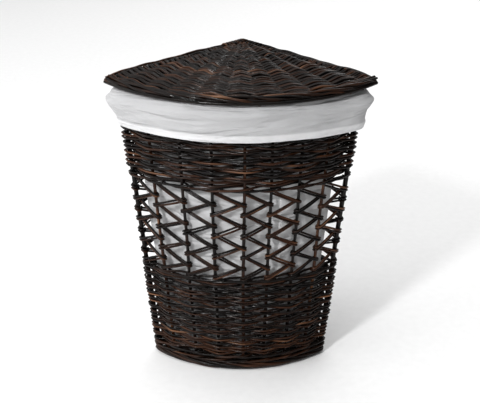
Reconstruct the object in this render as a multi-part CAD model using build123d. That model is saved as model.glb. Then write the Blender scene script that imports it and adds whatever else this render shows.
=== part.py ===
"""A quarter-round corner laundry basket of woven willow, with a cloth liner and a lift-off lid.

The frame: +Z is up and the floor is z = 0. The round front faces -Y, the square back corner
points along +Y, and the basket is symmetric about x = 0. The origin is below the middle of the
lid's outline. Sizes are in millimetres.
"""

import math
import os

from build123d import *

# Overall sizes
lid_width = 480.0  # across the two front corners of the lid
lid_height = 552.4  # from the floor to the middle of the lid's border
base_radius = 224.5  # from the back corner to the front wall at the floor, along the wall's middle
rim_radius = 301.0  # the same at the rim
corner_radius = 14.0  # rounding of the wall's middle line at its three corners
ring_clearance = 1.0  # a ring's corners are rounded by at least its radius and this much
tightest_corner = 3.0  # least rounding of a surface inside that line
back_set = 20.7  # from the lid's back corner forward to the rim's back corner
back_lean = 49.0  # from the rim's back corner forward to the wall's back corner at the floor

# Stakes and posts
front_gaps = 8  # openings between stakes along the round front
side_gaps = 6  # openings between stakes along each straight side
stake_diameter = 6.0
post_diameter = 9.0

# Heights of the woven zones
foot_border_height = 14.0
foot_wale_height = 20.0
lower_weave_top = 189.0
lower_wale_height = 11.5
open_height = 173.0
upper_wale_height = 13.0

# Thickness of the woven zones
weave_thickness = 11.0
wale_thickness = 13.0
foot_border_diameter = 18.0
rim_border_diameter = 20.0

# Openwork of paired rods
lattice_strokes = 8  # diagonals in one column, each one falling across a gap
lattice_rod = 4.0
lattice_end = 4.0  # from the end of the open zone to the middle of the first knot
knot_height = 9.0
knot_wall = 3.4

# Base
base_thickness = 12.0
base_lift = 5.0  # underside of the base above the floor
base_stick_diameter = 7.0
base_sticks = 5

# Cloth liner
cloth = 2.0
cloth_ease = 0.3  # between the cloth and what it lies on
cuff_drop = 58.0  # from the middle of the rim border to the lower edge of the turned-over cuff
hem_height = 12.0
hem_thickness = 3.0

# Lid
lid_border_diameter = 17.0
lid_side_diameter = 12.0
lid_thickness = 10.0
lid_stick_diameter = 5.0
lid_sectors = 10
lid_gap = 0.3  # between the lid's border and the cloth below it
lid_half_angle = 45.0  # degrees from the lid's middle to each straight side
binding_reach = 48.0  # from the lid's back corner to the end of its binding
locating_ring_height = 13.0
locating_ring_thickness = 8.0
locating_ring_clearance = 4.5  # between the ring and the cloth inside the rim

# What follows from the sizes above
diagonal = math.sqrt(0.5)  # how far a length at 45 degrees reaches along X or Y
lid_radius = lid_width * diagonal
lid_apex = lid_radius / 2
rim_height = (
    lid_height - lid_border_diameter / 2 - lid_gap - cloth - cloth_ease - rim_border_diameter / 2
)
rim_apex = lid_apex - back_set
base_apex = rim_apex - back_lean
foot_wale_top = foot_border_height + foot_wale_height
open_bottom = lower_weave_top + lower_wale_height
open_top = open_bottom + open_height
upper_wale_top = open_top + upper_wale_height
upper_weave_top = rim_height - rim_border_diameter / 2
fold_inner = rim_border_diameter / 2 + cloth_ease
fold_outer = fold_inner + cloth
base_top = base_lift + base_thickness
front_angles = [math.radians(90 * step / front_gaps - 45) for step in range(front_gaps + 1)]


def radius_at(height):
    """Radius of the wall's middle line at a height."""
    return base_radius + (rim_radius - base_radius) * height / rim_height


def apex_at(height):
    """Where the round front's centre, which is the square back corner, lies along Y."""
    return base_apex + (rim_apex - base_apex) * height / rim_height


def outline(radius, apex, side_grow, front_grow, rounding):
    """A quarter circle's area, with its sides and its round front moved outward and its corners rounded."""
    outer = radius + front_grow
    reach = math.sqrt(outer**2 - side_grow**2)
    side_x = (side_grow + reach) * diagonal
    side_y = apex + (side_grow - reach) * diagonal
    back = (0, apex + side_grow * math.sqrt(2))
    sides = Polyline((side_x, side_y), back, (-side_x, side_y))
    front = ThreePointArc((-side_x, side_y), (0, apex - outer), (side_x, side_y))
    face = make_face(sides.edges() + front.edges())
    return fillet(face.vertices(), rounding) if rounding > 0 else face


def wall_section(height, grow):
    """The area inside the wall's middle line at a height, grown by grow."""
    rounding = max(corner_radius + grow, tightest_corner)
    area = outline(radius_at(height), apex_at(height), grow, grow, rounding)
    return Pos(0, 0, height) * area


def filled(low, high, grow_low, grow_high):
    """The solid inside the wall between two heights."""
    return loft([wall_section(low, grow_low), wall_section(high, grow_high)], ruled=True)


def band(low, high, outer, inner):
    """A ring of wall between two heights; outer and inner are offsets from the middle line."""
    return filled(low, high, outer, outer) - filled(low, high, inner, inner)


def rod(start, end, diameter):
    """A straight round rod between two points."""
    along = Vector(*end) - Vector(*start)
    return extrude(Plane(origin=start, z_dir=along) * Circle(diameter / 2), along.length)


def front_point(angle, height):
    """A point of the round front's middle line."""
    radius = radius_at(height)
    return (radius * math.sin(angle), apex_at(height) - radius * math.cos(angle), height)


def side_point(side, share, height):
    """A point of a straight side: share 0 is the back corner and 1 the front corner."""
    reach = share * radius_at(height) * diagonal
    return (side * reach, apex_at(height) - reach, height)


def post_point(side, height):
    """The middle of a corner post: side 0 is the back corner, -1 and 1 the front corners."""
    inset = corner_radius * (math.sqrt(2) - 1)
    if side == 0:
        return (0, apex_at(height) - inset, height)
    x, y, _ = side_point(side, 1, height)
    return (x - side * inset, y, height)


stake_foot = base_lift
stake_tip = rim_height + rim_border_diameter / 4


def stake_lines():
    """Each upright by group: functions from a height to the upright's middle."""
    shares = [step / side_gaps for step in range(1, side_gaps)]
    return {
        "front_stakes": [lambda z, a=a: front_point(a, z) for a in front_angles[1:-1]],
        "left_stakes": [lambda z, s=s: side_point(-1, s, z) for s in shares],
        "right_stakes": [lambda z, s=s: side_point(1, s, z) for s in shares],
        "left_post": [lambda z: post_point(-1, z)],
        "right_post": [lambda z: post_point(1, z)],
        "back_post": [lambda z: post_point(0, z)],
    }


def upright_diameter(group):
    return post_diameter if group.endswith("post") else stake_diameter


def make_uprights():
    """All stakes and posts, by group."""
    return {
        group: [rod(line(stake_foot), line(stake_tip), upright_diameter(group)) for line in lines]
        for group, lines in stake_lines().items()
    }


def ring(height, diameter, widest):
    """A round border laid along the wall's middle line, whose corners are rounded enough to sweep
    the widest ring that shares the line."""
    rounding = max(corner_radius, widest / 2 + ring_clearance)
    area = outline(radius_at(height), apex_at(height), 0, 0, rounding)
    path = (Pos(0, 0, height) * area).faces()[0].outer_wire()
    start = path.edges()[0]
    profile = Plane(origin=start @ 0.5, z_dir=start % 0.5) * Circle(diameter / 2)
    return sweep(profile, path=path)


def lattice_column(left, right, left_diameter, right_diameter):
    """One zigzag of rods between two uprights, with a wrap round an upright at each turn."""
    fall = (open_height - 2 * lattice_end) / lattice_strokes
    heights = [open_top - lattice_end - step * fall for step in range(lattice_strokes + 1)]
    turns = [(left if step % 2 == 0 else right)(z) for step, z in enumerate(heights)]
    pieces = []
    for start, end in zip(turns, turns[1:]):
        along = Vector(*end) - Vector(*start)
        out = along.cross(Vector(0, 0, 1)).normalized()
        plane = Plane(origin=start, x_dir=out, z_dir=along)
        pieces.append(extrude(plane * Rectangle(lattice_rod, 2 * lattice_rod), along.length))
    for step, z in enumerate(heights):
        line = left if step % 2 == 0 else right
        diameter = left_diameter if step % 2 == 0 else right_diameter
        low, high = line(z - knot_height / 2), line(z + knot_height / 2)
        pieces.append(rod(low, high, diameter + 2 * knot_wall))
    zone = Pos(0, 0, (open_bottom + open_top) / 2) * Box(2 * lid_width, 2 * lid_width, open_height)
    column = pieces[0].fuse(*pieces[1:]) & zone
    for line, diameter in ((left, left_diameter), (right, right_diameter)):
        column = column - rod(line(stake_foot), line(stake_tip), diameter)
    return column


def lattice_columns(points, diameters):
    """The zigzags between neighbouring uprights."""
    return [
        lattice_column(points[i], points[i + 1], diameters[i], diameters[i + 1])
        for i in range(len(points) - 1)
    ]


def make_lattice():
    """The openwork: one node for each front column, and one for each straight side."""
    lines = stake_lines()
    left_post, right_post = lines["left_post"], lines["right_post"]
    back_post = lines["back_post"]
    front = left_post + lines["front_stakes"] + right_post
    front_sizes = [post_diameter] + [stake_diameter] * (front_gaps - 1) + [post_diameter]
    side_sizes = [post_diameter] + [stake_diameter] * (side_gaps - 1) + [post_diameter]
    nodes = {}
    for number, column in enumerate(lattice_columns(front, front_sizes), start=1):
        nodes[f"lattice_front_{number}"] = [column]
    left = back_post + lines["left_stakes"] + left_post
    right = right_post + lines["right_stakes"][::-1] + back_post
    nodes["lattice_left"] = lattice_columns(left, side_sizes)
    nodes["lattice_right"] = lattice_columns(right, side_sizes)
    return nodes


def foot_ring():
    """The foot border before its underside is cut level."""
    middle = foot_border_height - foot_border_diameter / 2
    return ring(middle, foot_border_diameter, foot_border_diameter)


def make_bands(uprights):
    """The woven zones of the wall, each with channels for the uprights."""
    weave, wale = weave_thickness / 2, wale_thickness / 2
    above_floor = Pos(0, 0, foot_border_height / 2) * Box(
        2 * rim_radius, 2 * rim_radius, foot_border_height
    )
    zones = {
        "foot_border": foot_ring() & above_floor,
        "foot_wale": band(foot_border_height, foot_wale_top, wale, -wale),
        "lower_weave": band(foot_wale_top, lower_weave_top, weave, -weave),
        "lower_wale": band(lower_weave_top, open_bottom, wale, -wale),
        "upper_wale": band(open_top, upper_wale_top, wale, -wale),
        "upper_weave": band(upper_wale_top, upper_weave_top, weave, -weave),
        "rim_border": ring(rim_height, rim_border_diameter, 2 * fold_outer),
    }
    return {name: [zone - uprights] for name, zone in zones.items()}


def make_base():
    """The woven base with its sticks, inside the foot of the wall."""
    grow = -wale_thickness / 2
    panel = filled(base_lift, base_top, grow, grow) - foot_ring()
    middle = base_lift + base_thickness / 2
    inner = radius_at(middle) + grow
    apex = apex_at(middle)
    spacing = inner / (base_sticks + 1)
    margin = foot_border_diameter
    sticks = []
    for number in range(base_sticks):
        x = (number - (base_sticks - 1) / 2) * spacing
        back = apex - abs(x) - margin * math.sqrt(2)
        front = apex - math.sqrt(inner**2 - x**2) + margin
        sticks.append(rod((x, front, middle), (x, back, middle), base_stick_diameter))
    return {"base_panel": [panel - sticks], "base_sticks": sticks}


def liner_wall():
    """The bag's walls, split into two side panels and a front panel along the corner seams."""
    walls = filled(base_top + cloth, rim_height, -fold_inner, -fold_inner)
    walls = walls - filled(base_top + cloth, rim_height, -fold_outer, -fold_outer)
    size = 4 * rim_radius
    front_faces = []
    for height in (base_top, rim_height):
        x, y, _ = side_point(1, 1, height)
        seam_x, seam_y = x - corner_radius, y + corner_radius
        points = [(-seam_x, seam_y), (-seam_x - size, seam_y - size)]
        points += [(seam_x + size, seam_y - size), (seam_x, seam_y)]
        front_faces.append(Pos(0, 0, height) * make_face(Polyline(*points, close=True).edges()))
    front_zone = loft(front_faces, ruled=True)
    left_zone = Pos(-size / 2, 0, rim_height / 2) * Box(size, size, 2 * rim_height)
    front = walls & front_zone
    sides = walls - front_zone
    return {
        "liner_front_panel": [front],
        "liner_left_panel": [sides & left_zone],
        "liner_right_panel": [sides - left_zone],
    }


def make_liner():
    """The cloth bag, its fold over the rim, the cuff outside and the stitched hem."""
    nodes = liner_wall()
    nodes["liner_base_panel"] = [filled(base_top, base_top + cloth, -fold_inner, -fold_inner)]
    widest = 2 * fold_outer
    fold = ring(rim_height, widest, widest) - ring(rim_height, 2 * fold_inner, widest)
    upper_half = Pos(0, 0, rim_height + fold_outer) * Box(
        3 * rim_radius, 3 * rim_radius, 2 * fold_outer
    )
    nodes["liner_fold"] = [fold & upper_half]
    hem_low = rim_height - cuff_drop
    hem_top = hem_low + hem_height
    hem_inner = wale_thickness / 2 + cloth_ease
    hem_outer = hem_inner + hem_thickness
    cuff_outer = hem_inner + cloth
    cuff = filled(hem_top, rim_height, cuff_outer, fold_outer)
    nodes["liner_cuff"] = [cuff - filled(hem_top, rim_height, hem_inner, fold_inner)]
    nodes["liner_hem"] = [band(hem_low, hem_top, hem_outer, hem_inner)]
    return nodes


def lid_point(angle, reach):
    """A point of the lid, by its direction from the back corner and its distance."""
    return (reach * math.sin(angle), lid_apex - reach * math.cos(angle), lid_height)


def lid_side_rod(side):
    """The border along one straight side of the lid, cut square to its neighbour at the back."""
    inset = lid_side_diameter / 2
    back = (0, lid_apex - inset * math.sqrt(2), lid_height)
    middle = lid_radius - lid_border_diameter / 2
    reach = (math.sqrt(middle**2 - inset**2) - inset) * diagonal
    corner = (side * reach, back[1] - reach, lid_height)
    beyond = (-side * lid_side_diameter, back[1] + lid_side_diameter, lid_height)
    size = 2 * lid_width
    half = Pos(side * size / 2, 0, lid_height) * Box(size, size, size)
    return rod(beyond, corner, lid_side_diameter) & half


def lid_plate(side_inset, front_inset, low, height):
    """A plate of the lid's outline, moved in from the straight sides and from the round front."""
    area = outline(lid_radius, lid_apex, -side_inset, -front_inset, 0)
    return extrude(Pos(0, 0, low) * area, height)


def make_lid_border():
    """The thick rod roll along the round front, trimmed at the straight sides."""
    middle = lid_radius - lid_border_diameter / 2
    end = math.radians(lid_half_angle) + lid_border_diameter / middle
    spine = ThreePointArc(*[lid_point(angle, middle) for angle in (-end, 0, end)])
    profile = Plane(origin=spine @ 0, z_dir=spine % 0) * Circle(lid_border_diameter / 2)
    size = 2 * lid_border_diameter
    return sweep(profile, path=spine) & lid_plate(0, -size, lid_height - size / 2, size)


def make_locating_ring():
    """The ring below the lid that drops inside the rim."""
    outer = -fold_outer - locating_ring_clearance
    inner = outer - locating_ring_thickness
    top = lid_height - lid_thickness / 2
    rounding = max(corner_radius + outer, tightest_corner)
    shapes = [outline(rim_radius, rim_apex, grow, grow, rounding) for grow in (outer, inner)]
    area = shapes[0] - shapes[1]
    return extrude(Pos(0, 0, top - locating_ring_height) * area, locating_ring_height)


def lid_stick(angle):
    """One radial stick, from the back binding or from where it clears the side border."""
    from_side = math.radians(lid_half_angle) - abs(angle)
    clear_reach = (lid_side_diameter + lid_stick_diameter) / math.sin(from_side)
    start = max(binding_reach, clear_reach)
    end = lid_radius - lid_border_diameter / 2
    return rod(lid_point(angle, start), lid_point(angle, end), lid_stick_diameter)


def make_lid():
    """The fan-woven lid on its radial sticks."""
    front = make_lid_border()
    left, right = (lid_side_rod(side) - front for side in (-1, 1))
    low = lid_height - lid_thickness / 2
    plate = lid_plate(lid_side_diameter / 2, lid_border_diameter / 2, low, lid_thickness)
    plate = plate - [front, left, right]
    sector = 2 * lid_half_angle / lid_sectors
    angles = [math.radians(sector * step - lid_half_angle) for step in range(1, lid_sectors)]
    sticks = [lid_stick(angle) - front for angle in angles]
    near = Pos(0, lid_apex, low) * extrude(Circle(binding_reach), lid_thickness)
    return {
        "lid_panel": [plate - near - sticks],
        "lid_sticks": sticks,
        "lid_back_binding": [plate & near],
        "lid_front_border": [front],
        "lid_left_border": [left],
        "lid_right_border": [right],
        "lid_locating_ring": [make_locating_ring()],
    }


def write(name, shapes):
    """Write one node as a group of its separate solids."""
    solids = [solid for shape in shapes for solid in shape.solids()]
    group = solids[0] if len(solids) == 1 else Compound(children=solids)
    export_step(group, f"parts/{name}.step")


def main():
    os.makedirs("parts", exist_ok=True)
    groups = make_uprights()
    uprights = [rod_solid for group in groups.values() for rod_solid in group]
    nodes = dict(groups)
    nodes.update(make_bands(uprights))
    nodes.update(make_base())
    nodes.update(make_lattice())
    nodes.update(make_liner())
    nodes.update(make_lid())
    for name, shapes in nodes.items():
        write(name, shapes)


main()
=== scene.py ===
"""The looks of a quarter-round corner laundry basket: dark willow rods woven round uprights, a
cotton liner turned out over the rim, and a loose fan-woven lid. Lengths are in metres."""

import math

import bmesh
import bpy
import numpy as np
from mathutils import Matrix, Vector, noise


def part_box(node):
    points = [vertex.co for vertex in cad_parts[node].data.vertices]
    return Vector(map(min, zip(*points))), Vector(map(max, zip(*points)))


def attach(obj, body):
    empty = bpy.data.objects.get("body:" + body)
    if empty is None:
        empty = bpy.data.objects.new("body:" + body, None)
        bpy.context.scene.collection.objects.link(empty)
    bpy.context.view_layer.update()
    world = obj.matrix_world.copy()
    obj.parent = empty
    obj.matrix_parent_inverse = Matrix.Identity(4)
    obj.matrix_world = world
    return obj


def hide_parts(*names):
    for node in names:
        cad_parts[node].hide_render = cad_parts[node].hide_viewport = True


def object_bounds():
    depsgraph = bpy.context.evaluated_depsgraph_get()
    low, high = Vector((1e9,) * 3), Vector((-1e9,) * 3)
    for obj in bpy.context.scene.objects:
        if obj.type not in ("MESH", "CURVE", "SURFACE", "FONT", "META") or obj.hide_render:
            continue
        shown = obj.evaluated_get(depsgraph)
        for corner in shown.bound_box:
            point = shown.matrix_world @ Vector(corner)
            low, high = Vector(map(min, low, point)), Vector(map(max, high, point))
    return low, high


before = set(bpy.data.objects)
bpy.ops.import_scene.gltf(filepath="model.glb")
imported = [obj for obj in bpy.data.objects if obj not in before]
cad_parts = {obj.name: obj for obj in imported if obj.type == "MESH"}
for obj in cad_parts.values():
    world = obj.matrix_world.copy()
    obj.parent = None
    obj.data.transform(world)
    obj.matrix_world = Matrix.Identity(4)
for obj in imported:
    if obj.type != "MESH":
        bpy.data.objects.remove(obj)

cad_low, cad_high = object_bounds()
draws = np.random.default_rng(41)

# The wall's plan: a quarter circle with rounded corners that grows with height
HALF = math.sqrt(0.5)
LID_RADIUS = (cad_high.x - cad_low.x) * HALF
LID_APEX = cad_high.y
BASE_RADIUS = 0.2245
RIM_RADIUS = 0.301
CORNER_RADIUS = 0.006
CLOTH_CORNER = 0.014
BACK_SET = 0.0207
BACK_LEAN = 0.049
FRONT_GAPS = 8
SIDE_GAPS = 6
UPRIGHTS = FRONT_GAPS + 2 * SIDE_GAPS
# the stakes of the front are not quite evenly spaced
UNEVEN_AT = (6, 7, 8, 9, 10, 11, 12, 13, 14)
UNEVEN = (0, 0.05, 0, -0.04, -0.17, -0.15, -0.13, -0.03, 0)

rim_low, rim_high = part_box("rim_border")
RIM_HEIGHT = (rim_low.z + rim_high.z) / 2
RIM_APEX = LID_APEX - BACK_SET
BASE_APEX = RIM_APEX - BACK_LEAN
STAKE = 0.006
POST = 0.009
lid_low, lid_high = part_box("lid_front_border")
LID_HEIGHT = (lid_low.z + lid_high.z) / 2


# --- the wall's shape ---------------------------------------------------------------------------


def wall_point(walk, height, out, inset=0.0, r=CORNER_RADIUS):
    """Points on the wall's middle line, moved outward. walk counts uprights from the back post.
    inset first shrinks that line, and r is the rounding of its corners."""
    walk, height, out = np.broadcast_arrays(*(np.asarray(v, float) for v in (walk, height, out)))
    share = height / RIM_HEIGHT
    radius = BASE_RADIUS + (RIM_RADIUS - BASE_RADIUS) * share - inset * (1 + math.sqrt(2))
    apex = BASE_APEX + (RIM_APEX - BASE_APEX) * share - inset * math.sqrt(2)
    turned = np.mod(walk, UPRIGHTS)
    turned = turned + np.interp(turned, UNEVEN_AT, UNEVEN)
    side = np.where(turned <= UPRIGHTS / 2, 1.0, -1.0)
    half_walk = np.minimum(turned, UPRIGHTS - turned)
    lead = np.arcsin(r / (radius - r))
    tangent = np.sqrt((radius - r) ** 2 - r**2)
    end_back = r * math.pi / 4
    end_side = end_back + tangent - r
    end_corner = end_side + r * (math.pi / 2 + lead)
    marks = [np.zeros_like(radius)]
    marks += [end_back + k / SIDE_GAPS * radius - r for k in range(1, SIDE_GAPS)]
    marks += [end_side + r * (math.pi / 2 + lead) / 2]
    turn = math.pi / 2 / FRONT_GAPS
    marks += [end_corner + radius * (turn * k - lead) for k in range(1, FRONT_GAPS // 2 + 1)]
    marks = np.stack(marks)
    step = np.clip(np.floor(half_walk).astype(int), 0, len(marks) - 2)
    part = half_walk - step
    low = np.take_along_axis(marks, step[None], 0)[0]
    high = np.take_along_axis(marks, step[None] + 1, 0)[0]
    gone = low + (high - low) * part

    angle_back = math.pi / 2 - gone / r
    angle_corner = math.pi / 4 - (gone - end_side) / r
    angle_front = -math.pi / 4 - lead - (gone - end_corner) / radius
    along = r + gone - end_back
    centre_x = tangent * HALF - r * HALF
    centre_y = apex - tangent * HALF - r * HALF
    zones = [gone < end_back, gone < end_side, gone < end_corner]
    x = np.select(
        zones,
        [
            (r + out) * np.cos(angle_back),
            (along + out) * HALF,
            centre_x + (r + out) * np.cos(angle_corner),
        ],
        (radius + out) * np.cos(angle_front),
    )
    y = np.select(
        zones,
        [
            apex - r * math.sqrt(2) + (r + out) * np.sin(angle_back),
            apex + (out - along) * HALF,
            centre_y + (r + out) * np.sin(angle_corner),
        ],
        apex + (radius + out) * np.sin(angle_front),
    )
    return np.stack([side * x, y, height], axis=-1)


def smooth_step(value, low, high):
    part = np.clip((value - low) / (high - low), 0, 1)
    return part * part * (3 - 2 * part)


def upright_radius(walk):
    """Half the thickness of the upright nearest to each place."""
    nearest = np.mod(np.rint(walk), UPRIGHTS)
    post = (nearest == 0) | (nearest == SIDE_GAPS) | (nearest == UPRIGHTS - SIDE_GAPS)
    return np.where(post, POST / 2, STAKE / 2)


# --- rods ---------------------------------------------------------------------------------------


def wander(count, scale, size, seed):
    """A smooth random line of count values, with humps about scale values wide."""
    line = [noise.noise(Vector((i / scale, seed * 7.31, 3.7))) for i in range(count)]
    return size * np.array(line)


class Rods:
    """Willow rods gathered into one piece. Each one has a tone of its own for the stain."""

    def __init__(self, name, material, slot):
        self.name, self.material, self.slot = name, material, slot
        self.mesh = bmesh.new()
        self.uv = self.mesh.loops.layers.uv.new("grain")
        self.tones = []

    def add(self, points, thickness, tone=None, sides=8):
        """A rod along points; thickness is one diameter or one for each point."""
        points = np.asarray(points, float)
        curve = bpy.data.curves.new("rod", "CURVE")
        curve.dimensions = "3D"
        curve.bevel_depth = 1.0
        curve.bevel_resolution = sides // 2 - 2
        curve.use_fill_caps = True
        line = curve.splines.new("POLY")
        line.points.add(len(points) - 1)
        line.points.foreach_set("co", np.c_[points, np.ones(len(points))].ravel())
        radii = np.broadcast_to(np.asarray(thickness, float) / 2, len(points))
        line.points.foreach_set("radius", np.ascontiguousarray(radii))
        holder = bpy.data.objects.new("rod", curve)
        tube = bpy.data.meshes.new_from_object(holder)
        length = float(np.linalg.norm(np.diff(points, axis=0), axis=1).sum())
        around = float(np.mean(radii)) * 2 * math.pi
        coords = np.zeros(len(tube.loops) * 2, np.float32)
        layer = tube.uv_layers[0]
        layer.uv.foreach_get("vector", coords)
        start = draws.uniform(0, 50)
        coords = coords.reshape(-1, 2) * (length, around) + (start, start * 0.37)
        layer.uv.foreach_set("vector", coords.astype(np.float32).ravel())
        layer.name = "grain"
        self.mesh.from_mesh(tube)
        self.tones.append((len(tube.vertices), draws.uniform(0, 1) if tone is None else tone))
        bpy.data.objects.remove(holder)
        bpy.data.curves.remove(curve)
        bpy.data.meshes.remove(tube)

    def finish(self, body, *nodes):
        """The piece, riding on a body and standing for CAD nodes."""
        mesh = bpy.data.meshes.new(self.name)
        self.mesh.to_mesh(mesh)
        self.mesh.free()
        tone = mesh.attributes.new("tone", "FLOAT", "POINT")
        values = np.concatenate([np.full(n, v, np.float32) for n, v in self.tones])
        tone.data.foreach_set("value", values)
        mesh.polygons.foreach_set("use_smooth", np.ones(len(mesh.polygons), bool))
        mesh.materials.append(self.material)
        return place(self.name, mesh, body, nodes)


def place(name, mesh, body, nodes):
    """Put a finished mesh in the scene on its body, for the CAD nodes that it replaces."""
    piece = bpy.data.objects.new(name, mesh)
    bpy.context.scene.collection.objects.link(piece)
    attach(piece, body)
    if nodes:
        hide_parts(*nodes)
    return piece


# --- materials ----------------------------------------------------------------------------------


def new_material(name):
    """A material with its node tree and its shader."""
    material = bpy.data.materials.new(name)
    material.use_nodes = True
    tree = material.node_tree
    shader = tree.nodes["Principled BSDF"]
    return material, tree, shader


def node(tree, kind, inputs=(), **settings):
    """Add a node; inputs pairs a socket's name or number with a value or another socket."""
    made = tree.nodes.new(kind)
    for key, value in settings.items():
        setattr(made, key, value)
    for key, value in dict(inputs).items():
        if isinstance(value, bpy.types.NodeSocket):
            tree.links.new(value, made.inputs[key])
        else:
            made.inputs[key].default_value = value
    return made


def ramp(tree, factor, stops):
    """A colour ramp with (position, colour) stops."""
    made = node(tree, "ShaderNodeValToRGB", {"Fac": factor})
    band = made.color_ramp
    while len(band.elements) < len(stops):
        band.elements.new(0.5)
    for element, (position, colour) in zip(band.elements, stops):
        element.position = position
        element.color = (*colour, 1) if len(colour) == 3 else colour
    return made.outputs["Color"]


def willow(name, dark, middle, light, wear_and_glint):
    """Stained willow bark: a tone for each rod, fine grain, tan patches of wear and painted
    highlight, and a sheen.
    """
    material, tree, shader = new_material(name)
    grain = node(tree, "ShaderNodeUVMap", uv_map="grain").outputs["UV"]
    tone = node(tree, "ShaderNodeAttribute", attribute_name="tone").outputs["Fac"]
    place_at = node(tree, "ShaderNodeTexCoord").outputs["Object"]
    along = node(
        tree, "ShaderNodeMapping", {"Vector": grain, "Scale": (30.0, 1100.0, 1.0)}
    ).outputs["Vector"]
    fibres = node(
        tree, "ShaderNodeTexNoise", {"Vector": along, "Scale": 1.0, "Detail": 4.0, "Roughness": 0.6}
    ).outputs["Fac"]
    patch_at = node(
        tree, "ShaderNodeMapping", {"Vector": grain, "Scale": (11.0, 70.0, 1.0)}
    ).outputs["Vector"]
    patches = node(
        tree, "ShaderNodeTexNoise", {"Vector": patch_at, "Scale": 1.0, "Detail": 3.0}
    ).outputs["Fac"]
    half_tone = node(tree, "ShaderNodeMath", {0: tone, 1: 0.45}, operation="MULTIPLY").outputs[0]
    shade = node(
        tree, "ShaderNodeMath", {0: patches, 1: 1.1, 2: half_tone}, operation="MULTIPLY_ADD"
    ).outputs[0]
    shade = node(tree, "ShaderNodeMath", {0: shade, 1: 0.29}, operation="SUBTRACT").outputs[0]
    # the last stop: tan patches at random along the rods, partly rubbed stain and partly a painted
    # highlight
    stain = ramp(tree, shade, [(0.2, dark), (0.48, middle), (0.72, light), (0.9, wear_and_glint)])
    streak = ramp(tree, fibres, [(0.3, (0.55, 0.55, 0.55)), (0.7, (1.35, 1.3, 1.25))])
    colour = node(
        tree, "ShaderNodeMix", {"Factor": 1.0, 6: stain, 7: streak},
        data_type="RGBA", blend_type="MULTIPLY",
    ).outputs[2]
    tree.links.new(colour, shader.inputs["Base Color"])
    rough = node(
        tree,
        "ShaderNodeMapRange",
        {"Value": patches, "From Min": 0.3, "From Max": 0.7, "To Min": 0.14, "To Max": 0.36},
    ).outputs[0]
    tree.links.new(rough, shader.inputs["Roughness"])
    knots = node(
        tree, "ShaderNodeTexNoise", {"Vector": place_at, "Scale": 260.0, "Detail": 2.0}
    ).outputs["Fac"]
    relief = node(
        tree, "ShaderNodeMath", {0: knots, 1: 0.4, 2: fibres}, operation="MULTIPLY_ADD"
    ).outputs[0]
    bump = node(
        tree, "ShaderNodeBump", {"Height": relief, "Strength": 0.3, "Distance": 0.0006}
    ).outputs["Normal"]
    tree.links.new(bump, shader.inputs["Normal"])
    shader.inputs["Specular IOR Level"].default_value = 0.26
    return material


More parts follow.
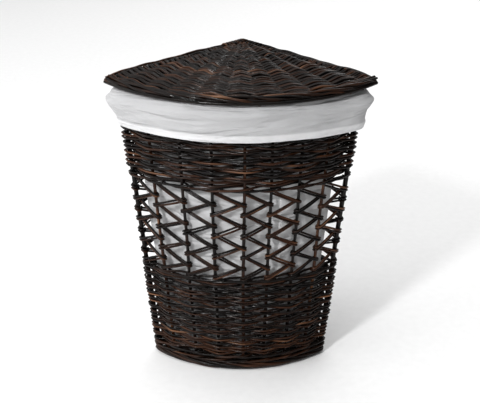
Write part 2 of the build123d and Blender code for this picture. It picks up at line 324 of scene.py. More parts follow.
def cotton(name, colour, thin):
    """Plain-woven cotton: threads both ways, slubs, and a soft nap. Where it lies single over the
    dark willow it looks greyer than where it is doubled."""
    material, tree, shader = new_material(name)
    cloth = node(tree, "ShaderNodeUVMap", uv_map="grain").outputs["UV"]
    doubled = node(tree, "ShaderNodeAttribute", attribute_name="doubled").outputs["Fac"]
    threads = []
    for direction, start in (("X", 0.0), ("Y", 5.0)):
        wave = node(
            tree,
            "ShaderNodeTexWave",
            {"Vector": cloth, "Scale": 330.0, "Distortion": 1.2, "Detail": 2.0, "Detail Scale": 0.6,
             "Phase Offset": start},
            bands_direction=direction,
        )
        threads.append(wave.outputs["Fac"])
    weave = node(
        tree, "ShaderNodeMath", {0: threads[0], 1: threads[1]}, operation="MAXIMUM"
    ).outputs[0]
    stretched = node(
        tree, "ShaderNodeMapping", {"Vector": cloth, "Scale": (60.0, 420.0, 1.0)}
    ).outputs["Vector"]
    slubs = node(
        tree, "ShaderNodeTexNoise",
        {"Vector": stretched, "Scale": 1.0, "Detail": 5.0, "Roughness": 0.7},
    ).outputs["Fac"]
    clouds = node(
        tree, "ShaderNodeTexNoise", {"Vector": cloth, "Scale": 14.0, "Detail": 3.0}
    ).outputs["Fac"]
    mottle = node(tree, "ShaderNodeMath", {0: slubs, 1: clouds}, operation="ADD").outputs[0]
    mottle = node(
        tree, "ShaderNodeMath", {0: weave, 1: 0.2, 2: mottle}, operation="MULTIPLY_ADD"
    ).outputs[0]
    grains = node(
        tree, "ShaderNodeTexNoise",
        {"Vector": cloth, "Scale": 380.0, "Detail": 3.0, "Roughness": 0.7},
    ).outputs["Fac"]
    mottle = node(
        tree, "ShaderNodeMath", {0: grains, 1: 0.7, 2: mottle}, operation="MULTIPLY_ADD"
    ).outputs[0]
    tint = ramp(tree, mottle, [(1.0, (0.80, 0.80, 0.805)), (1.5, (1.0, 1.0, 1.0))])
    layers = ramp(tree, doubled, [(0.0, thin), (1.0, colour)])
    tinted = node(
        tree, "ShaderNodeMix", {"Factor": 1.0, 6: layers, 7: tint},
        data_type="RGBA", blend_type="MULTIPLY",
    ).outputs[2]
    tree.links.new(tinted, shader.inputs["Base Color"])
    relief = node(
        tree, "ShaderNodeMath", {0: slubs, 1: 1.4, 2: weave}, operation="MULTIPLY_ADD"
    ).outputs[0]
    pulled = node(
        tree, "ShaderNodeMapping", {"Vector": cloth, "Scale": (8.0, 40.0, 1.0)}
    ).outputs["Vector"]
    wrinkles = node(
        tree, "ShaderNodeTexNoise",
        {"Vector": pulled, "Scale": 1.0, "Detail": 2.5, "Roughness": 0.55, "Distortion": 0.6},
    ).outputs["Fac"]
    rumple = node(
        tree, "ShaderNodeBump", {"Height": wrinkles, "Strength": 1.0, "Distance": 0.016}
    ).outputs["Normal"]
    bump = node(
        tree, "ShaderNodeBump",
        {"Height": relief, "Strength": 0.5, "Distance": 0.0004, "Normal": rumple},
    ).outputs["Normal"]
    tree.links.new(bump, shader.inputs["Normal"])
    rough = node(
        tree,
        "ShaderNodeMapRange",
        {"Value": slubs, "From Min": 0.3, "From Max": 0.7, "To Min": 0.85, "To Max": 0.97},
    ).outputs[0]
    tree.links.new(rough, shader.inputs["Roughness"])
    shader.inputs["Sheen Weight"].default_value = 0.1
    shader.inputs["Sheen Roughness"].default_value = 0.6
    shader.inputs["Specular IOR Level"].default_value = 0.15
    return material


ESPRESSO = (0.0022, 0.0016, 0.0014)
WALNUT = (0.0070, 0.0034, 0.0021)
RUSSET = (0.048, 0.0185, 0.0080)
# TAN: rubbed stain on the rods, partly a painted highlight
TAN = (0.22, 0.115, 0.062)
weave_stain = willow("stained willow", ESPRESSO, WALNUT, RUSSET, TAN)
stake_stain = willow("stained willow uprights", ESPRESSO, WALNUT, RUSSET, TAN)
border_stain = willow("stained willow borders", ESPRESSO, WALNUT, RUSSET, TAN)
liner_cotton = cotton("white cotton", (0.83, 0.83, 0.835), (0.60, 0.60, 0.605))


# --- the wall -----------------------------------------------------------------------------------

STEPS = 10  # points of a rod between one upright and the next


def ridge(part):
    """A wave of straight flanks and tight bends, from 1 at part 0 to -1 at part 1."""
    return np.arcsin(0.97 * np.cos(math.pi * part)) / math.asin(0.97)


def weave_band(name, node_name, rows, rod, seed):
    """Rows of paired rods, each pair in front of one upright and behind the next. A pair spreads
    where it shows in front and closes up behind."""
    low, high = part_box(node_name)
    pitch = (high.z - low.z) / rows
    rods = Rods(name, weave_stain, "willow_weave")
    for row in range(rows):
        first = int(draws.integers(0, UPRIGHTS // 2)) * 2 + row % 2
        walk = first + np.arange((UPRIGHTS * STEPS) + 5) / STEPS - 0.2
        ends = np.clip(np.minimum(walk - walk[0], walk[-1] - walk) / 0.2, 0, 1)
        swing = -ridge(walk - first)
        reach = upright_radius(walk) + rod / 2 + 0.0002
        out = swing * reach * np.where(swing > 0, 1.1, 1.0) - (1 - ends) * 0.001
        middle = low.z + (row + 0.5) * pitch + wander(len(walk), 9, 0.0014, seed + row)
        spread = 0.40 + 0.17 * (1 + swing) * (1 + wander(len(walk), 12, 1.2, seed + row + 0.7))
        for strand in (-1, 1):
            number = seed + 3 * row + strand
            height = middle + strand * rod * spread + wander(len(walk), 8, 0.0010, number + 0.5)
            depth = out + strand * wander(len(walk), 7, 0.0014, number + 0.2)
            taper = np.linspace(1.10, 0.86, len(walk)) * (1 + wander(len(walk), 12, 0.16, number))
            rods.add(wall_point(walk, height, depth), rod * taper)
    return rods.finish("basket", node_name)


def wale(name, node_name, rows, rod, seed):
    """Rounds of three rods that twine: each passes two uprights outside and one inside."""
    low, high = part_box(node_name)
    pitch = (high.z - low.z) / rows
    rods = Rods(name, weave_stain, "willow_weave")
    for row in range(rows):
        for strand in range(3):
            walk = np.arange(UPRIGHTS * STEPS + 4) / STEPS + 0.1
            phase = np.mod((walk + strand + row) / 3, 1)
            swing = np.tanh(-2.4 * np.cos(2 * math.pi * phase) + 0.3)
            reach = upright_radius(walk) + rod / 2 + 0.0003
            slide = np.where(phase < 0.88, phase / 0.88, (1 - phase) / 0.12)
            height = low.z + (row + 0.5) * pitch + (0.5 - slide) * (pitch - rod * 0.6)
            height = height + wander(len(walk), 7, 0.0008, seed + 3 * row + strand)
            taper = 1 + wander(len(walk), 11, 0.12, seed + 30 + 3 * row + strand)
            rods.add(wall_point(walk, height, swing * reach), rod * taper)
    return rods.finish("basket", node_name)


def rope_border(name, node_name, strands, rod, spread, turns, seed):
    """A border of rods that lie slantwise over each other round the wall's edge."""
    low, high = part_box(node_name)
    centre = (low.z + high.z) / 2
    rods = Rods(name, border_stain, "willow_border")
    for strand in range(strands):
        walk = np.arange(UPRIGHTS * STEPS + 1) / STEPS
        angle = 2 * math.pi * (strand / strands + turns * walk / UPRIGHTS)
        out = spread[0] * np.cos(angle)
        height = centre + spread[1] * np.sin(angle)
        taper = 1 + wander(len(walk), 12, 0.10, seed + strand)
        rods.add(wall_point(walk, height, out), rod * taper)
    return rods.finish("basket", node_name)


def rolled_border(name, node_name, rod, span, outs, heights, seed):
    """A rod starts at each upright, slants over the next ones outside and tucks in below them."""
    rods = Rods(name, border_stain, "willow_border")
    for number in range(UPRIGHTS):
        part = np.linspace(0, 1, 36)
        walk = number + 0.3 - part * span
        out = np.interp(part, [0, 0.2, 0.5, 0.85, 1], outs) + wander(36, 9, 0.0008, seed + number)
        height = np.interp(part, [0, 0.2, 0.5, 0.85, 1], heights)
        height = height + wander(36, 9, 0.0010, seed + 40 + number)
        kernel = np.array([1, 3, 5, 3, 1]) / 13
        out = np.convolve(np.pad(out, 2, "edge"), kernel, "valid")
        height = np.convolve(np.pad(height, 2, "edge"), kernel, "valid")
        taper = np.linspace(1.05, 0.85, 36)
        thickness = rod * (1 + wander(36, 10, 0.12, seed + 80 + number)) * taper
        rods.add(wall_point(walk, height, out), thickness)
    return rods.finish("basket", node_name)


def uprights():
    """The stakes and posts, which run from the foot to the rim."""
    groups = {
        "back_post": [0],
        "right_stakes": range(1, SIDE_GAPS),
        "right_post": [SIDE_GAPS],
        "front_stakes": range(SIDE_GAPS + 1, SIDE_GAPS + FRONT_GAPS),
        "left_post": [SIDE_GAPS + FRONT_GAPS],
        "left_stakes": range(SIDE_GAPS + FRONT_GAPS + 1, UPRIGHTS),
    }
    for name, places in groups.items():
        low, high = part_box(name)
        rods = Rods(name + "_rods", stake_stain, "willow_stake")
        for number in places:
            height = np.linspace(low.z, high.z, 60)
            walk = number + wander(60, 14, 0.035, number + 60)
            out = wander(60, 16, 0.0012, number + 90)
            thick = POST if len(places) == 1 else STAKE
            thickness = thick * (1 + wander(60, 9, 0.10, number)) * np.linspace(1.06, 0.9, 60)
            rods.add(wall_point(walk, height, out), thickness, sides=10)
        rods.finish("basket", name)


STEEPER = 0.54  # the first stroke's share of a pair of strokes
GAP_WIDTH = 0.048


def lattice():
    """Openwork: in each gap a pair of rods zigzags down, passing in front of an upright at each
    turn and coming back from behind it."""
    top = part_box("upper_wale")[0].z - 0.0005
    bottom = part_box("lower_wale")[1].z + 0.0005
    strokes = 8
    fall = (top - bottom) / strokes
    rod = 0.0040
    nodes = {}
    for gap in range(UPRIGHTS):
        if SIDE_GAPS <= gap < SIDE_GAPS + FRONT_GAPS:
            node_name = f"lattice_front_{SIDE_GAPS + FRONT_GAPS - gap}"
        else:
            node_name = "lattice_right" if gap < SIDE_GAPS else "lattice_left"
        nodes.setdefault(node_name, []).append(gap)
    for node_name, gaps in nodes.items():
        rods = Rods(node_name + "_rods", weave_stain, "willow_weave")
        for gap in gaps:
            for strand in (-1, 1):
                rods.add(*lattice_path(gap, top, fall, strokes, rod, strand))
        rods.finish("basket", node_name)


def lattice_path(gap, top, fall, strokes, rod, strand):
    """One rod of a gap's zigzag. It starts at the left upright, which has the higher number."""
    walk, height, out = [], [], []
    drift = draws.uniform(-0.0012, 0.0012, strokes + 2)
    for stroke in range(strokes):
        rising = stroke % 2 == 1
        start_at, end_at = (gap, gap + 1) if rising else (gap + 1, gap)
        toward = 1 if rising else -1
        part = np.linspace(0.0, 1.0, 15)
        # the first stroke of each pair falls a little further than the second
        share = 1 - STEEPER if rising else STEEPER
        drop = fall * 2 * share
        z0 = top - (stroke // 2) * 2 * fall - (2 * fall * STEEPER if rising else 0)
        z = z0 - drop * part + drift[stroke] * (1 - part) + drift[stroke + 1] * part
        reach0 = float(upright_radius(start_at)) * 0.9 + rod / 2
        reach1 = float(upright_radius(end_at)) * 0.9 + rod / 2
        depth = -reach0 + (reach0 + reach1) * part
        walk.append(start_at + toward * part)
        height.append(z)
        out.append(depth)
        hook = (float(upright_radius(end_at)) * 0.9 + rod * 0.4) / GAP_WIDTH * toward
        walk.append(np.array([end_at + hook * 0.8, end_at + hook, end_at + hook * 0.8]))
        height.append(z[-1] + np.array([-0.0004, -0.0014, -0.0024]))
        out.append(np.array([reach1 * 0.75, 0.0, -reach1 * 0.75]))
    walk, height, out = (np.concatenate(v) for v in (walk, height, out))
    offset = strand * (rod * 0.54 + wander(len(walk), 12, 0.0008, gap * 5 + strand))
    points = wall_point(walk, height + offset, out)
    thickness = rod * (1 + wander(len(walk), 14, 0.10, gap * 3 + strand))
    return points, thickness


uprights()
weave_band("lower_weave_rods", "lower_weave", 21, 0.0040, 100)
weave_band("upper_weave_rods", "upper_weave", 15, 0.0048, 300)
wale("upper_wale_rods", "upper_wale", 1, 0.0042, 500)
wale("lower_wale_rods", "lower_wale", 1, 0.0042, 520)
wale("foot_wale_rods", "foot_wale", 2, 0.0048, 540)
rolled_border(
    "foot_border_rods", "foot_border", 0.0062, 3.7,
    (-0.004, 0.0035, 0.0072, 0.0042, -0.003), (0.0125, 0.0125, 0.0088, 0.0040, 0.0042), 600,
)
rope_border("rim_border_rods", "rim_border", 6, 0.0075, (0.0062, 0.0062), 5, 620)
lattice()


# --- the lid ------------------------------------------------------------------------------------

LID_GAPS = 10
BORDER_REACH = (-0.0075, -0.0045, -0.0005, 0.0050, 0.0042)
BORDER_LIFT = (-0.0035, 0.0042, 0.0046, 0.0012, -0.0060)
LID_BORDER = lid_high.z - lid_low.z
LID_SHIFT = 0.002  # the lid lies a little to the right of the basket's middle


def lid_point(angle, reach, lift):
    """A point of the lid, whose straight sides rise a little and whose round front dips."""
    angle, reach, lift = np.broadcast_arrays(*(np.asarray(v, float) for v in (angle, reach, lift)))
    away = 1 - (angle / (math.pi / 4)) ** 2
    part = reach / LID_RADIUS
    rise = 0.0095 * (1 - 0.5 * smooth_step(part, 0.86, 1.0))
    rise = rise * (1 - 0.55 * away * smooth_step(part, 0, 0.8))
    dip = -0.0045 * away * smooth_step(part, 0.3, 1.0)
    height = LID_HEIGHT + lift + rise + dip
    across = reach * np.sin(angle) + LID_SHIFT
    return np.stack([across, LID_APEX - reach * np.cos(angle), height], axis=-1)


def lid_angle(gap):
    return math.pi / 2 * (np.asarray(gap, float) / LID_GAPS - 0.5)


def lid_sticks():
    rods = Rods("lid_stick_rods", stake_stain, "willow_stake")
    for number in range(1, LID_GAPS):
        start = 0.02 if number % 2 == 0 else 0.105
        reach = np.linspace(start, LID_RADIUS - LID_BORDER * 0.7, 40)
        angle = lid_angle(number + wander(40, 12, 0.05, number + 700))
        rods.add(lid_point(angle, reach, wander(40, 10, 0.0008, number + 720)), 0.0052)
    return rods.finish("lid", "lid_sticks")


def lid_weave():
    """Paired rods that go over and under the fan of sticks and turn round the side frames."""
    rods = Rods("lid_weave_rods", weave_stain, "willow_weave")
    rod, pitch, side = 0.0042, 0.0061, 0.0060
    first, last = 0.055, LID_RADIUS - 0.009
    rows = int((last - first) / pitch)
    for strand in (-1, 1):
        angle, reach, lift = [], [], []
        for row in range(rows):
            near = first + row * pitch
            step = 2 if near < 0.11 else 1
            gaps = np.linspace(0, LID_GAPS, LID_GAPS // step * 12 + 1)
            if row % 2:
                gaps = gaps[::-1]
            inset = side / near / (math.pi / 2 / LID_GAPS)
            gaps = inset + gaps / LID_GAPS * (LID_GAPS - 2 * inset)
            swing = ridge(gaps / step) * (-1) ** row * 0.0042
            swing = swing * (1 + wander(len(gaps), 20, 0.4, 760 + row))
            angle.append(lid_angle(gaps))
            own = wander(len(gaps), 9, 0.0020, 700 + 3 * row + strand)
            shared = wander(len(gaps), 13, 0.0026, 750 + row)
            slant = 0.0016 * np.sin(math.pi * gaps / step) * (-1) ** row
            reach.append(near + strand * rod * 0.5 + own + shared + slant)
            lift.append(swing + wander(len(gaps), 8, 0.0008, 790 + 3 * row + strand))
            end = 0 if row % 2 else LID_GAPS
            outward = -1 if row % 2 else 1
            beyond = (side - 0.0012) / near / (math.pi / 2 / LID_GAPS) * outward
            angle.append(lid_angle(end - inset * outward + beyond * np.array([0.75, 1.0, 0.75])))
            reach.append(near + strand * rod * 0.5 + pitch * np.array([0.25, 0.5, 0.75]))
            lift.append(swing[-1] * np.array([0.7, 0.0, -0.7]))
        angle, reach, lift = (np.concatenate(v) for v in (angle, reach, lift))
        points = lid_point(angle, reach, lift)
        cuts = np.linspace(0, len(points) - 1, rows * 2 // 3 + 1).astype(int)
        for start, end in zip(cuts, cuts[1:]):
            count = end - start + 1
            thickness = rod * np.linspace(1.15, 0.9, count) * (1 + wander(count, 10, 0.2, start))
            rods.add(points[start : end + 1], thickness)
    return rods.finish("lid", "lid_panel")


def lid_front_border():
    """Long rods laid side by side round the front. Each comes up from the weave, drifts outward
    over the ones before it and ends tucked in below the edge."""
    rods = Rods("lid_front_border_rods", border_stain, "willow_border")
    rod = 0.0053
    thick = LID_BORDER / 2
    for number in range(19):
        start = -0.34 + number * 0.072 + draws.uniform(-0.02, 0.02)
        part = np.linspace(0, 1, 50)
        share = start + part * draws.uniform(0.26, 0.40)
        over = draws.uniform(0.0, 0.013, 2)
        kept = (share > -over[0]) & (share < 1 + over[1])
        if kept.sum() < 5:
            continue
        reach = LID_RADIUS - thick + np.interp(part, [0, 0.15, 0.5, 0.8, 1], BORDER_REACH)
        lift = np.interp(part, [0, 0.15, 0.5, 0.8, 1], BORDER_LIFT)
        reach = reach + wander(50, 11, 0.0030, 800 + number)
        lift = lift + wander(50, 11, 0.0026, 820 + number)
        size = rod * draws.uniform(0.85, 1.15)
        thickness = size * (1 + wander(50, 12, 0.2, 840 + number)) * np.linspace(1.1, 0.8, 50)
        points = lid_point(lid_angle(share * LID_GAPS), reach, lift)
        rods.add(points[kept], thickness[kept])
    inner = ((0.0035, -0.0045, 0.0062), (0.011, -0.0052, 0.0060), (0.0075, -0.0012, 0.0064),
             (0.0145, -0.0025, 0.0056), (0.0185, 0.0005, 0.0050))
    for inset, lift, size in inner:
        part = np.linspace(-0.004, 1.004, 90)
        reach = LID_RADIUS - inset + wander(90, 18, 0.0010, 860 + inset * 1000)
        lifts = lift + wander(90, 16, 0.0010, 870 + inset * 1000)
        rods.add(lid_point(lid_angle(part * LID_GAPS), reach, lifts), size)
    return rods.finish("lid", "lid_front_border")


def lid_side_border(side, name):
    """The straight side: a frame rod inside the turns of the weave, two thinner ones outside, and
    short rods that close the front corner."""
    rods = Rods(name + "_rods", border_stain, "willow_border")
    lines = [(0.0060, 0.0000, 0.0075), (0.0008, 0.0030, 0.0048), (0.0010, -0.0026, 0.0046)]
    for number, (inset, lift, thick) in enumerate(lines):
        reach = np.linspace(0.004, LID_RADIUS - LID_BORDER * 0.25, 90)
        angle = side * (math.pi / 4 - np.arcsin(np.minimum(inset / reach, 0.9)))
        lifts = lift + wander(90, 9, 0.0022, 840 + number + side)
        rods.add(lid_point(angle, reach, lifts), thick * (1 + wander(90, 10, 0.10, 850 + number)))
    for inset in (0.0125, 0.0180, 0.0235):
        reach = np.linspace(0.245 + inset, LID_RADIUS - 0.008, 24)
        angle = side * (math.pi / 4 - np.arcsin(inset / reach))
        rods.add(lid_point(angle, reach, -0.0010), 0.0056)
    return rods.finish("lid", name)


def lid_binding():
    """Fine rods woven round the back corner, where the sticks meet, and wound round the frame."""
    rods = Rods("lid_binding_rods", border_stain, "willow_border")
    for turn in range(12):
        near = 0.010 + turn * 0.0042
        gap = np.linspace(0, 1, 24)
        angle = lid_angle(gap * LID_GAPS)
        lift = 0.0035 * (-1) ** turn * np.cos(math.pi * gap * 5)
        rods.add(lid_point(angle, near, lift), 0.0042)
    for side in (-1, 1):
        for turn in range(7):
            along = 0.008 + turn * 0.0075 + draws.uniform(-0.001, 0.001)
            around = np.linspace(0, 2 * math.pi, 20)
            reach = along + 0.0016 * np.sin(around / 2)
            inset = 0.0062 + 0.0068 * np.cos(around)
            angle = side * (math.pi / 4 - np.arcsin(np.clip(inset / reach, -0.9, 0.9)))
            rods.add(lid_point(angle, reach, 0.0064 * np.sin(around)), 0.0038)
    return rods.finish("lid", "lid_back_binding")


def locating_ring():
    """The roll below the lid that drops inside the rim."""
    low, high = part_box("lid_locating_ring")
    rods = Rods("lid_ring_rods", border_stain, "willow_border")
    strands, rod, turns = 5, 0.0048, 8
    centre, spread = (low.z + high.z) / 2, (high.z - low.z - rod) / 2
    for strand in range(strands):
        walk = np.arange(UPRIGHTS * STEPS + 1) / STEPS
        angle = 2 * math.pi * (strand / strands + turns * walk / UPRIGHTS)
        points = wall_point(walk, RIM_HEIGHT, 0.0030 * np.cos(angle), 0.0212, CLOTH_CORNER)
        points[:, 2] = centre + spread * np.sin(angle)
        rods.add(points, rod)
    return rods.finish("lid", "lid_locating_ring")


lid_sticks()
lid_weave()
lid_front_border()
lid_side_border(-1, "lid_left_border")
lid_side_border(1, "lid_right_border")
lid_binding()
locating_ring()


# --- the base -----------------------------------------------------------------------------------


def base():
    """Sticks from back to front, woven across with pairs of rods."""
    low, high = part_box("base_panel")
    middle = (low.z + high.z) / 2
    sticks = Rods("base_stick_rods", stake_stain, "willow_stake")
    weave = Rods("base_weave_rods", weave_stain, "willow_weave")
    edge = wall_point(np.linspace(0, UPRIGHTS, 400), middle, -0.0085)
    count = 9
    xs = np.linspace(edge[:, 0].min() * 0.8, edge[:, 0].max() * 0.8, count)
    for x in xs:
        near = np.abs(edge[:, 0] - x) < 0.004
        y = edge[near, 1]
        sticks.add([(x, y.min(), middle), (x, y.max(), middle)], 0.0065)
    gap = xs[1] - xs[0]
    rod, pitch = 0.0040, 0.0084
    rows = int((edge[:, 1].max() - edge[:, 1].min() - 0.012) / pitch)
    for row in range(rows):
        y = edge[:, 1].min() + 0.008 + row * pitch
        near = edge[np.abs(edge[:, 1] - y) < 0.005, 0]
        if near.max() - near.min() < 0.02:
            continue
        x = np.linspace(near.min(), near.max(), 70)
        lift = 0.0050 * np.cos(math.pi * (x - xs[0]) / gap) * (-1) ** row
        for strand in (-1, 1):
            points = np.stack([x, np.full(70, y + strand * rod / 2), middle + lift], axis=-1)
            weave.add(points, rod * (1 + wander(70, 12, 0.1, 900 + row + strand)))
    sticks.finish("basket", "base_sticks")
    weave.finish("basket", "base_panel")


base()


# --- the liner ----------------------------------------------------------------------------------


def cloth_noise(walk, run, across, along, seed):
    """Noise over the cloth that closes round the basket; across and along are humps per metre."""
    angle = walk / UPRIGHTS * 2 * math.pi
    loop = 0.17 * across
    x, y = loop * np.cos(angle), loop * np.sin(angle)
    run = np.broadcast_to(run if np.ndim(run) == 2 else run[:, None], (len(run), len(walk)))
    values = [
        [noise.noise(Vector((a, b, r * along + seed))) for a, b, r in zip(x, y, row)] for row in run
    ]
    return np.array(values)


CUFF_PROFILE = (0.0123, 0.0150, 0.0134, 0.0116, 0.0108, 0.0106, 0.0110)
BAG_INSET = 0.0106  # from the wall's middle line to the bag
BAG_CORNER = 0.009
HEM = 0.0125  # height of the cuff's doubled edge


def near_upright(walk, number, width):
    """1 beside an upright, falling to 0 about width gaps away."""
    gap = (walk - number + UPRIGHTS / 2) % UPRIGHTS - UPRIGHTS / 2
    return np.exp(-((gap / width) ** 2))


def liner():
    """One cloth: the bag inside, its fold over the rim, the cuff outside and the doubled hem."""
    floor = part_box("liner_base_panel")[1].z
    hem_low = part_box("liner_hem")[0].z
    fold = (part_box("liner_fold")[1].z - RIM_HEIGHT) - 0.001
    bag_rows, fold_rows, cuff_rows = 44, 12, 40
    across = 420
    walk = np.linspace(0, UPRIGHTS, across, endpoint=False)
    drop = RIM_HEIGHT - hem_low
    turn = np.linspace(0, math.pi, fold_rows + 2)[1:-1]
    fall = np.linspace(0, drop, cuff_rows)
    height = np.concatenate(
        [
            np.linspace(floor, RIM_HEIGHT, bag_rows),
            RIM_HEIGHT + fold * np.sin(turn),
            RIM_HEIGHT - fall,
        ]
    )
    # how far out the cuff hangs below the rim: a slack roll, a waist, then the hem
    hang = np.interp(fall, np.array([0, 8, 16, 26, 38, 46, 58]) / 1000, CUFF_PROFILE)
    base_out = np.concatenate([np.linspace(-0.0125, -fold, bag_rows), -fold * np.cos(turn), hang])
    run = np.concatenate([[0], np.cumsum(np.hypot(np.diff(height), np.diff(base_out)))])
    rows = np.arange(len(run))
    in_bag = rows < bag_rows
    fall_all = np.where(rows >= bag_rows + fold_rows, RIM_HEIGHT - height, 0)
    cuff = fall_all / drop

    left, right = near_upright(walk, 14, 0.75), near_upright(walk, 6, 0.75)
    back = near_upright(walk, 0, 0.7)
    falls = np.array([0, 8, 25, 42, 58]) / 1000
    hang_left = np.interp(fall_all, falls, [0.010, 0.0165, 0.014, 0.006, 0.002])
    hang_right = np.interp(fall_all, falls, [0.010, 0.0160, 0.0120, 0.0105, 0.009])
    over_rim = smooth_step(rows, bag_rows + 3, bag_rows + fold_rows)
    slack = np.outer(hang_left, left + back * 0.6) + np.outer(hang_right, right)
    slack = slack * over_rim[:, None]

    bag = smooth_step(RIM_HEIGHT - 0.02 - height, 0, 0.12) * in_bag
    folds = cloth_noise(walk, run, 26, 1.6, 11)
    sag = cloth_noise(walk, run, 9, 5, 17)
    inward = np.clip(folds * 0.015 + sag * 0.008 + 0.003, 0, 0.016)
    pressed = 1 - near_upright(walk, 14, 0.5) - near_upright(walk, 6, 0.5)
    inward = inward * pressed[None] + 0.004 * near_upright(walk, 6, 0.4)
    low_cuff = smooth_step(fall_all, 0.012, 0.03)
    tilt = 0.010 * np.sin(walk / UPRIGHTS * 6 * math.pi)
    slant = run[:, None] + 0.020 * (right - left)[None] + tilt[None]
    broad = cloth_noise(walk, slant, 7, 34, 23)
    sharp = 0.22 - np.abs(cloth_noise(walk, slant, 9, 42, 29))
    fine = 0.2 - np.abs(cloth_noise(walk, slant, 14, 85, 47))
    near_corner = (left + right + back)[None]
    creases = broad * 0.0040 + sharp * 0.0065 + fine * 0.0022
    creases = creases * (1 - 0.5 * near_corner)
    pulled = cloth_noise(walk, run, 20, 6, 43) * 0.0022
    cloth_part = smooth_step(rows, bag_rows - 6, bag_rows + 6)[:, None]
    out = base_out[:, None] - inward * bag[:, None] + slack
    out = out + np.maximum(creases + pulled, -0.0010 - 0.0008 * low_cuff[:, None]) * cloth_part
    doubled = smooth_step(fall_all, drop - HEM, drop - HEM + 0.001)
    out = out + 0.0013 * doubled[:, None]
    wave = cloth_noise(walk, run * 0, 10, 1, 31)
    out = out + np.clip(wave * 0.004, -0.0005, 1) * (cuff**2)[:, None]
    edge = cloth_noise(walk, run * 0, 6, 1, 37) * 0.0028
    heights = height[:, None] + edge * cuff[:, None]
    walks = np.broadcast_to(walk, out.shape)
    points = wall_point(walks, heights, out, 0.0, CLOTH_CORNER)
    inside = wall_point(walks, heights, -inward * bag[:, None], BAG_INSET, BAG_CORNER)
    settled = (smooth_step(RIM_HEIGHT - height, 0.0, 0.03) * in_bag)[:, None, None]
    points = points * (1 - settled) + inside * settled
    length = float(np.linalg.norm(np.diff(points[bag_rows], axis=0), axis=1).sum())

    mesh = bmesh.new()
    uv = mesh.loops.layers.uv.new("grain")
    layers = mesh.verts.layers.float.new("doubled")
    grid = bmesh.ops.create_grid(mesh, x_segments=across, y_segments=len(run) - 1, size=1.0)
    columns = across + 1
    for index, vert in enumerate(grid["verts"]):
        row, column = divmod(index, columns)
        vert.co = points[row, column % across]
        vert[layers] = 1.0 if in_bag[row] else doubled[row]
        vert.index = index
    for face in mesh.faces:
        for loop in face.loops:
            row, column = divmod(loop.vert.index, columns)
            loop[uv].uv = (column / across * length, run[row])
    bmesh.ops.remove_doubles(mesh, verts=mesh.verts, dist=1e-6)
    bmesh.ops.recalc_face_normals(mesh, faces=mesh.faces)
    for face in mesh.faces:
        face.smooth = True
    cloth = bpy.data.meshes.new("liner_cloth")
    mesh.to_mesh(cloth)
    mesh.free()
    cloth.materials.append(liner_cotton)
    piece = place(
        "liner_cloth", cloth, "basket",
        ["liner_front_panel", "liner_left_panel", "liner_right_panel", "liner_fold", "liner_cuff",
         "liner_hem"],
    )
    shell = piece.modifiers.new("cloth thickness", "SOLIDIFY")
    shell.thickness = 0.0012
    shell.offset = 0.0
    return piece


def liner_floor():
    """The bag's bottom panel."""
    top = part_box("liner_base_panel")[1].z
    walk = np.linspace(0, UPRIGHTS, 160, endpoint=False)
    mesh = bmesh.new()
    edge = [mesh.verts.new(p) for p in wall_point(walk, top, 0.0, BAG_INSET, BAG_CORNER)]
    rim = [mesh.edges.new((a, b)) for a, b in zip(edge, edge[1:] + edge[:1])]
    bmesh.ops.triangle_fill(mesh, edges=rim, use_beauty=True)
    bmesh.ops.subdivide_edges(mesh, edges=mesh.edges, cuts=1, use_grid_fill=True)
    bmesh.ops.recalc_face_normals(mesh, faces=mesh.faces)
    uv = mesh.loops.layers.uv.new("grain")
    for face in mesh.faces:
        face.smooth = True
        for loop in face.loops:
            loop[uv].uv = loop.vert.co.xy
    layers = mesh.verts.layers.float.new("doubled")
    for vert in mesh.verts:
        vert.co.z += 0.002 * noise.noise(vert.co * 22)
        vert[layers] = 1.0
    cloth = bpy.data.meshes.new("liner_floor_cloth")
    mesh.to_mesh(cloth)
    mesh.free()
    cloth.materials.append(liner_cotton)
    piece = place("liner_floor_cloth", cloth, "basket", ["liner_base_panel"])
    shell = piece.modifiers.new("cloth thickness", "SOLIDIFY")
    shell.thickness = 0.0012
    shell.offset = 0.0
    return piece


liner()
liner_floor()


# --- floor, light and camera ----------------------------------------------------------------------


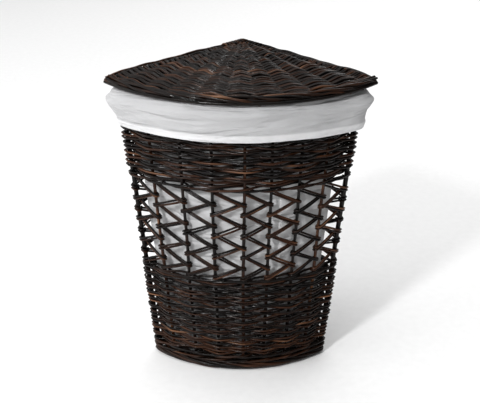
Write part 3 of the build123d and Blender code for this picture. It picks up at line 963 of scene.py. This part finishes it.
def studio():
    """A pale floor under a white surround. A small key light at the front left gives the glints,
    a broad one from above shades the cloth, and softer ones fill the left, the top and the back."""
    material, tree, shader = new_material("pale studio floor")
    place_at = node(tree, "ShaderNodeTexCoord").outputs["Object"]
    speckle = node(
        tree, "ShaderNodeTexNoise", {"Vector": place_at, "Scale": 60.0, "Detail": 4.0}
    ).outputs["Fac"]
    tint = ramp(tree, speckle, [(0.3, (0.87, 0.87, 0.87)), (0.7, (0.9, 0.9, 0.9))])
    tree.links.new(tint, shader.inputs["Base Color"])
    shader.inputs["Roughness"].default_value = 0.9
    mesh = bmesh.new()
    bmesh.ops.create_grid(mesh, x_segments=8, y_segments=8, size=30.0)
    floor_mesh = bpy.data.meshes.new("studio_floor")
    mesh.to_mesh(floor_mesh)
    mesh.free()
    floor_mesh.materials.append(material)
    floor = bpy.data.objects.new("studio_floor", floor_mesh)
    bpy.context.scene.collection.objects.link(floor)
    world = bpy.data.worlds.new("white surround")
    bpy.context.scene.world = world
    world.use_nodes = True
    world.node_tree.nodes["Background"].inputs["Color"].default_value = (1, 1, 1, 1)
    world.node_tree.nodes["Background"].inputs["Strength"].default_value = 0.2
    soft_light("key light", (-1.35, -2.3, 2.3), 0.35, 46)
    soft_light("left light", (-2.7, -0.8, 1.5), 1.8, 17)
    soft_light("overhead light", (-0.3, 0.6, 3.2), 2.4, 14)
    soft_light("back light", (1.3, 3.0, 2.2), 2.2, 24)
    sky = bpy.data.lights.new("broad light", "SUN")
    sky.energy = 1.55
    sky.angle = math.radians(140)
    holder = bpy.data.objects.new("broad light", sky)
    holder.rotation_euler = (math.radians(10), math.radians(-38), 0)
    bpy.context.scene.collection.objects.link(holder)


def soft_light(name, place_at, size, power):
    lamp = bpy.data.lights.new(name, "AREA")
    lamp.shape = "SQUARE"
    lamp.size = size
    lamp.energy = power
    holder = bpy.data.objects.new(name, lamp)
    holder.location = place_at
    aim = Vector((0, 0, 0.28)) - Vector(place_at)
    holder.rotation_euler = aim.to_track_quat("-Z", "Y").to_euler()
    bpy.context.scene.collection.objects.link(holder)


def camera():
    """A long lens, a little above the basket and almost square to its round front."""
    azimuth, elevation, distance = math.radians(1.0), 0.4165, 2.2
    target = Vector((-0.0031, LID_APEX, 0.219))
    back = Vector(
        (
            math.sin(azimuth) * math.cos(elevation),
            -math.cos(azimuth) * math.cos(elevation),
            math.sin(elevation),
        )
    )
    data = bpy.data.cameras.new("camera")
    data.lens = 79.0
    holder = bpy.data.objects.new("camera", data)
    holder.location = target + back * distance
    holder.rotation_euler = (-back).to_track_quat("-Z", "Y").to_euler()
    bpy.context.scene.collection.objects.link(holder)
    bpy.context.scene.camera = holder


studio()
camera()
bpy.context.scene.view_settings.view_transform = "Standard"
bpy.context.scene.view_settings.look = "Medium High Contrast"
